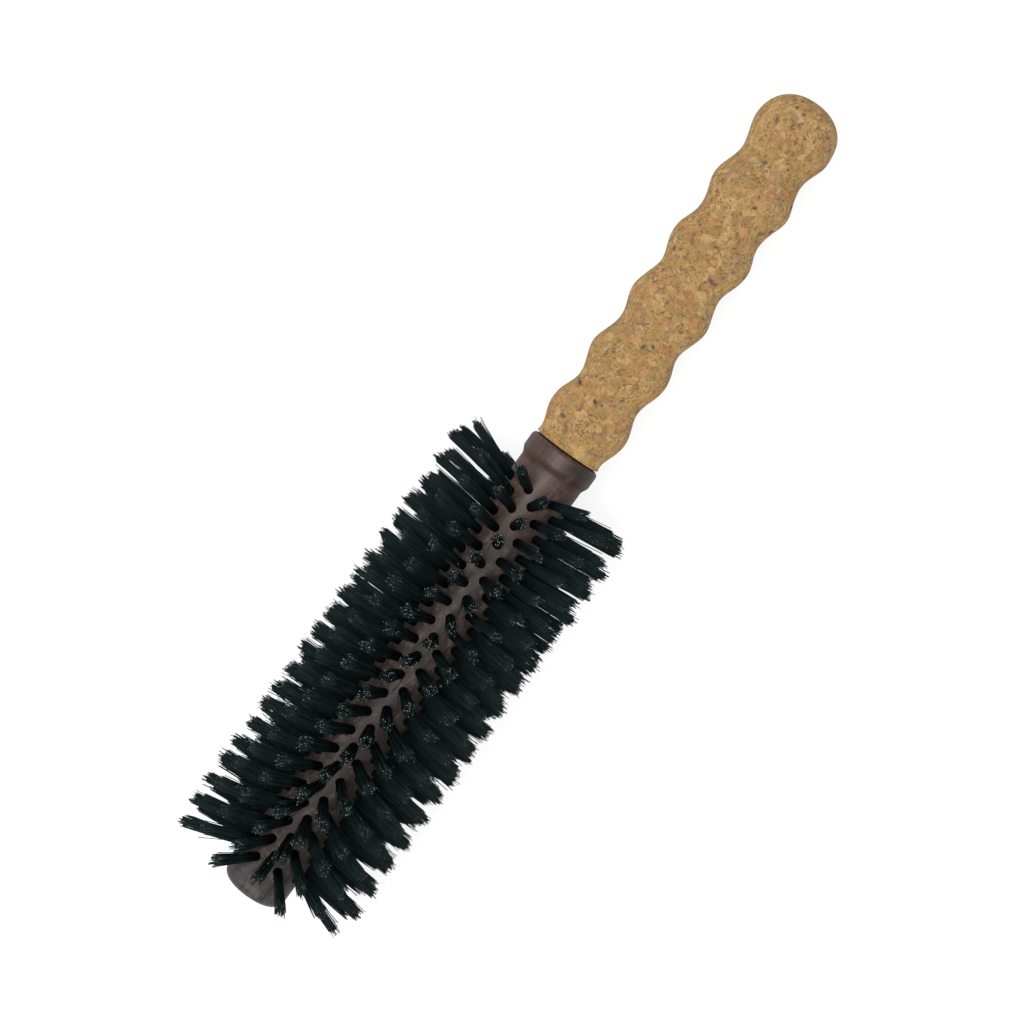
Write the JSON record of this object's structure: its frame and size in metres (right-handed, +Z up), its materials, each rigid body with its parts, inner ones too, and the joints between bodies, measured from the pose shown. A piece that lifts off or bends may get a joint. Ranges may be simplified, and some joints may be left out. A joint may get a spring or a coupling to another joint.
{
  "type": "round hair brush",
  "caption": "Round barrel hair brush: turned wooden barrel with swirled rows of stiff bristle tufts all round it and a bulged cork grip with a rounded end.",
  "frame": {"origin": "under the middle of the brush's length, on the surface that its lowest bristle tufts lie on", "axes": "+X along the brush from the barrel's free tip to the rounded end of the cork grip, +Z up, the brush's axis is horizontal"},
  "size_m": [0.28, 0.0588, 0.0584],
  "materials": {
    "barrel_wood": "satin",
    "cork": "matte",
    "core_wood": "matte",
    "bristle": "satin"
  },
  "bodies": {
    "root": {"barrel": "barrel_wood", "cork_grip": "cork", "handle_core": "core_wood", "tuft_row_01": "bristle", "tuft_row_02": "bristle", "tuft_row_03": "bristle", "tuft_row_04": "bristle", "tuft_row_05": "bristle", "tuft_row_06": "bristle", "tuft_row_07": "bristle", "tuft_row_08": "bristle", "tuft_row_09": "bristle", "tuft_row_10": "bristle", "tuft_row_11": "bristle", "tuft_row_12": "bristle", "tuft_row_13": "bristle", "tuft_row_14": "bristle", "tuft_row_15": "bristle", "tuft_row_16": "bristle"}
  },
  "joints": []
}
